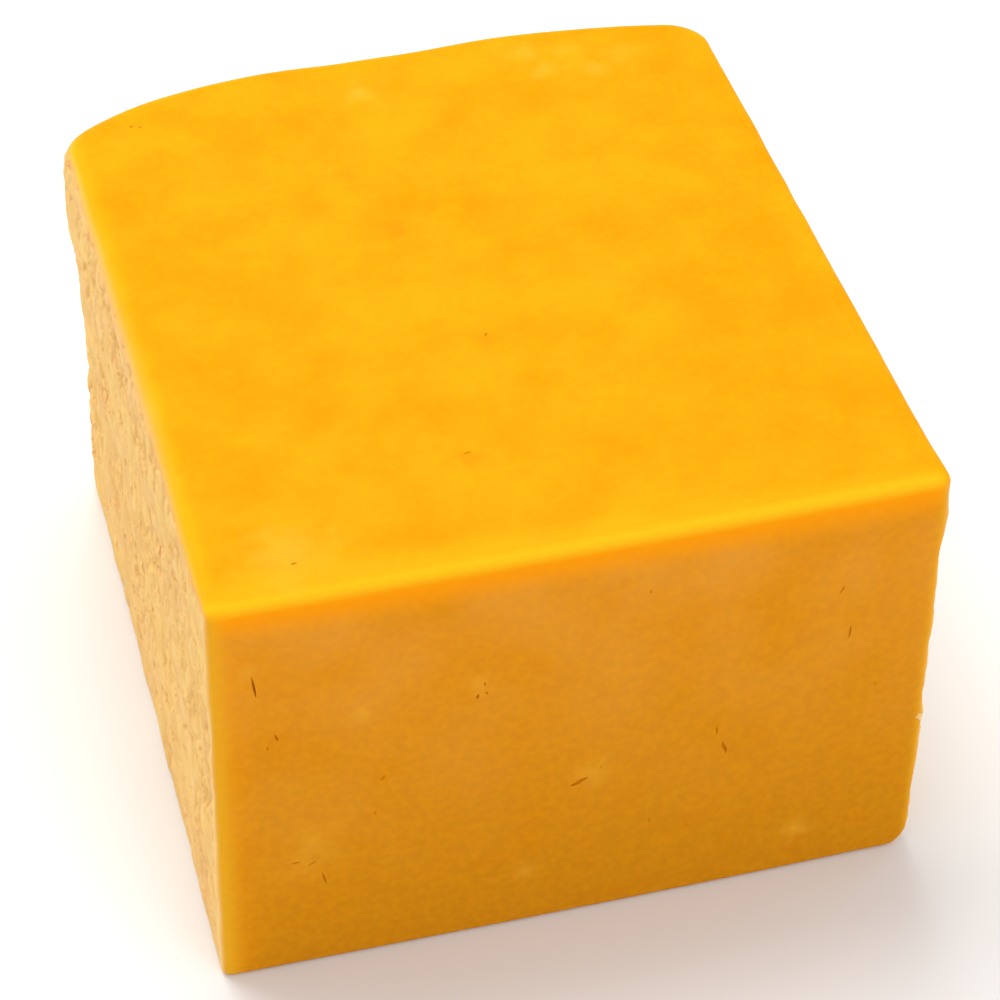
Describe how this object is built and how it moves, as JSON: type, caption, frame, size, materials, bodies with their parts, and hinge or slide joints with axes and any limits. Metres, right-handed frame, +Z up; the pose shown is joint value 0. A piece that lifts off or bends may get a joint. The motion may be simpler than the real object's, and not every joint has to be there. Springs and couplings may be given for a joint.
{
  "type": "cheddar cheese block",
  "caption": "Rectangular block of orange hard cheese with clean cut top and front, torn crumbly sides and a back that curves away at one end.",
  "frame": {"origin": "middle of the block's outline, on the flat foot that it stands on", "axes": "+Z up, -Y towards the clean cut front, +X towards the right side as seen from the front"},
  "size_m": [0.1058, 0.1218, 0.073],
  "materials": {
    "cheese": "moist, softly translucent orange cheese, glossier on the cut faces and dry and paler on the torn ones"
  },
  "bodies": {
    "root": {"cheddar_block": "cheese"}
  },
  "joints": []
}
